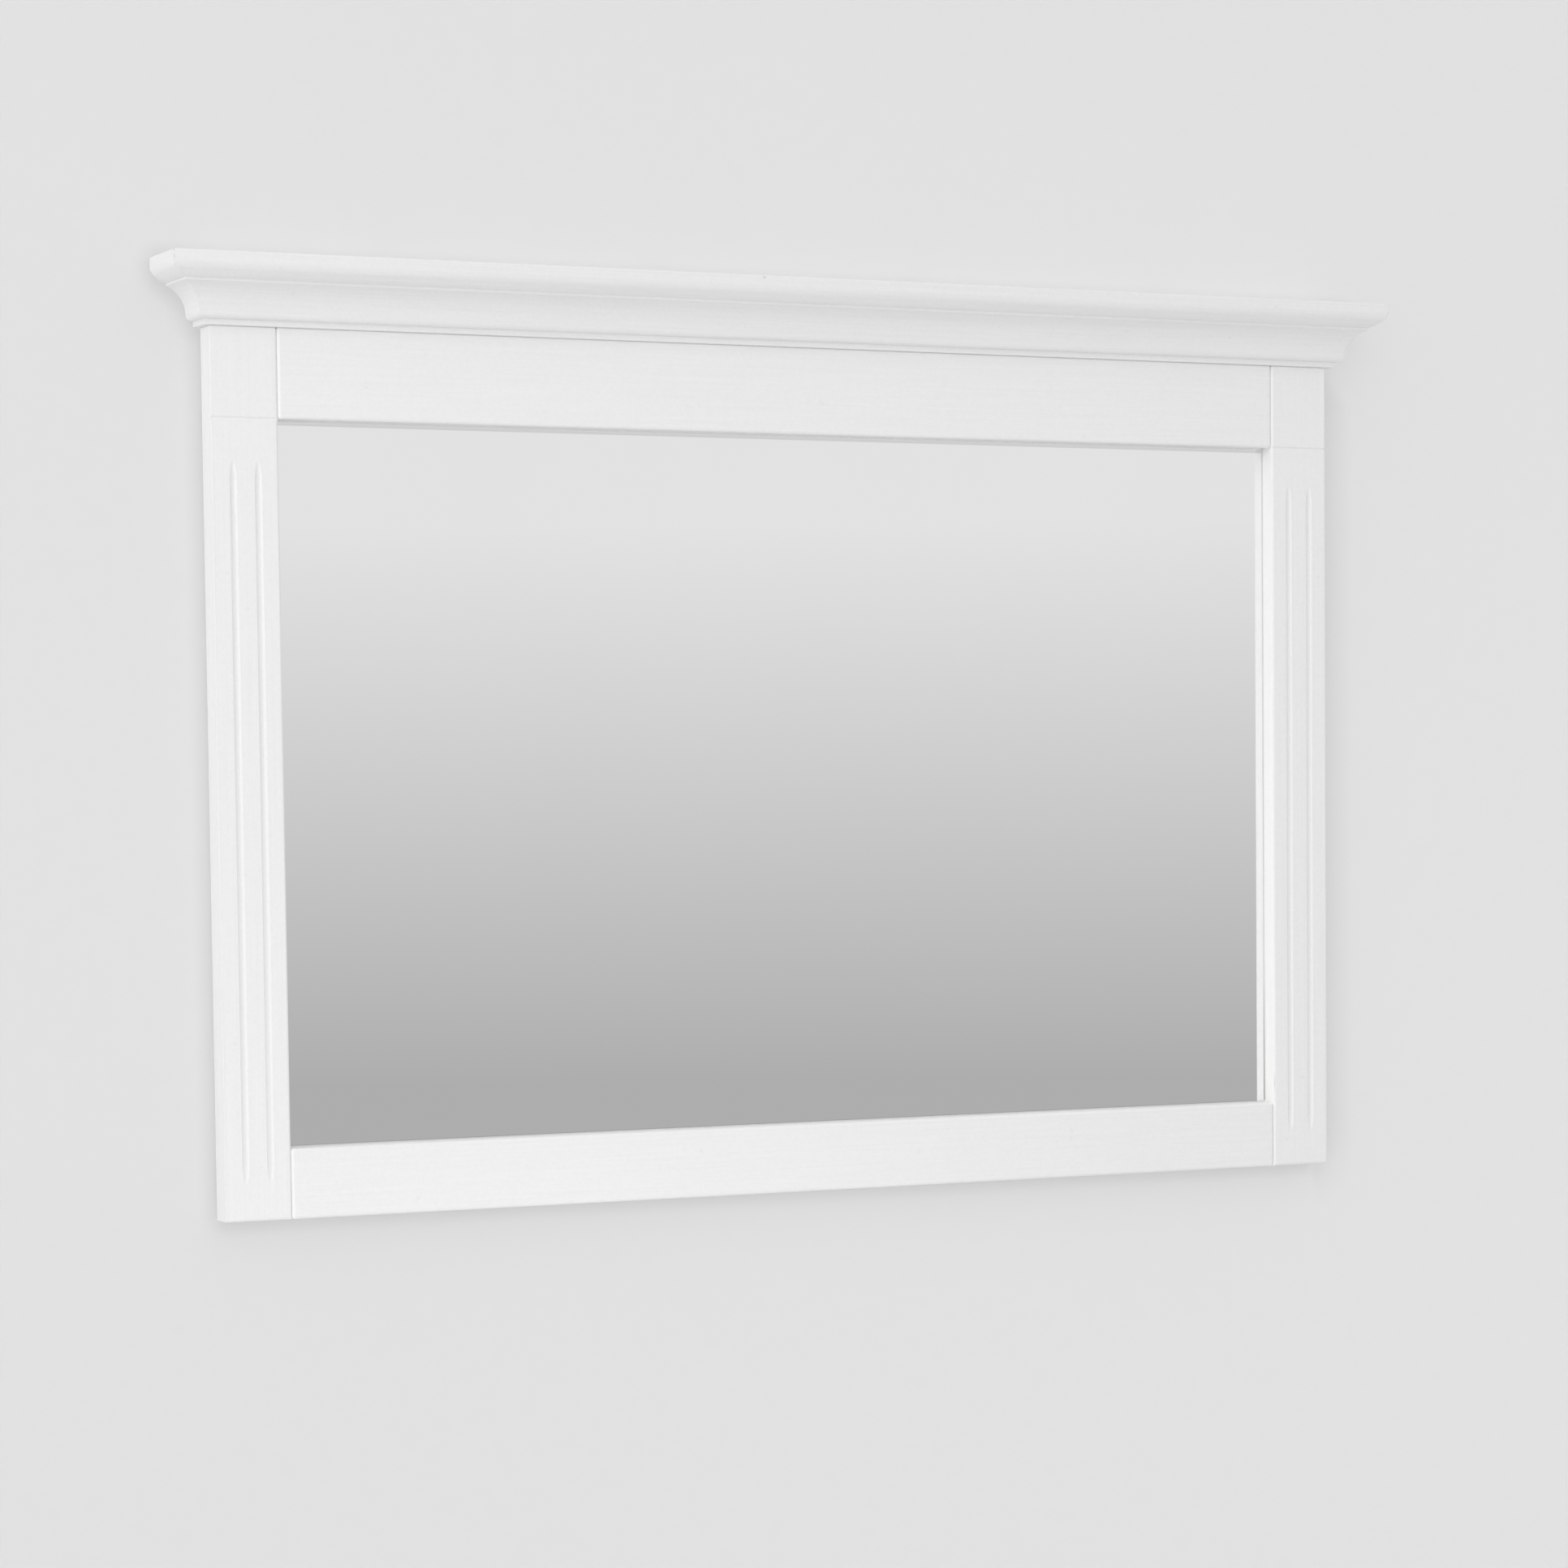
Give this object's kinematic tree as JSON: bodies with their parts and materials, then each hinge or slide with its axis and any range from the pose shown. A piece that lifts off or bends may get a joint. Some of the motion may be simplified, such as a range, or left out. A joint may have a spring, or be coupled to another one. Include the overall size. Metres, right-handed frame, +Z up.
{
  "type": "wall mirror",
  "caption": "Landscape wall mirror in a white painted wood frame with fluted stiles and a mitred cornice, hung on keyhole plates.",
  "frame": {"origin": "midway between the keyholes' round entries of the two wall hangers, in the plane of the frame's back", "axes": "+X to the right seen from the front, +Y towards the wall, +Z up; the front faces -Y"},
  "size_m": [1.1, 0.065, 0.753],
  "materials": {
    "painted_wood": "satin white paint over pine",
    "bare_wood": "bare pine",
    "beech": "bare beech",
    "silvered_glass": "polished, silvered behind",
    "fibreboard": "bare hardboard",
    "zinc_steel": "zinc plated",
    "pad_rubber": "matt moulded rubber",
    "cork": "cork strip"
  },
  "bodies": {
    "root": {"left_stile": "painted_wood", "right_stile": "painted_wood", "top_rail": "painted_wood", "bottom_rail": "painted_wood", "frame_dowels": "beech", "mirror_glass": "silvered_glass", "glass_packers": "cork", "back_panel": "fibreboard", "panel_clips": "zinc_steel", "clip_screws": "zinc_steel", "cornice_carrier": "bare_wood", "cornice_front": "painted_wood", "cornice_return_left": "painted_wood", "cornice_return_right": "painted_wood", "mitre_biscuits": "beech", "cornice_screws": "zinc_steel", "moulding_screws": "zinc_steel", "hanger_plate_left": "zinc_steel", "hanger_plate_right": "zinc_steel", "hanger_screws": "zinc_steel", "wall_pads": "pad_rubber"}
  },
  "joints": []
}
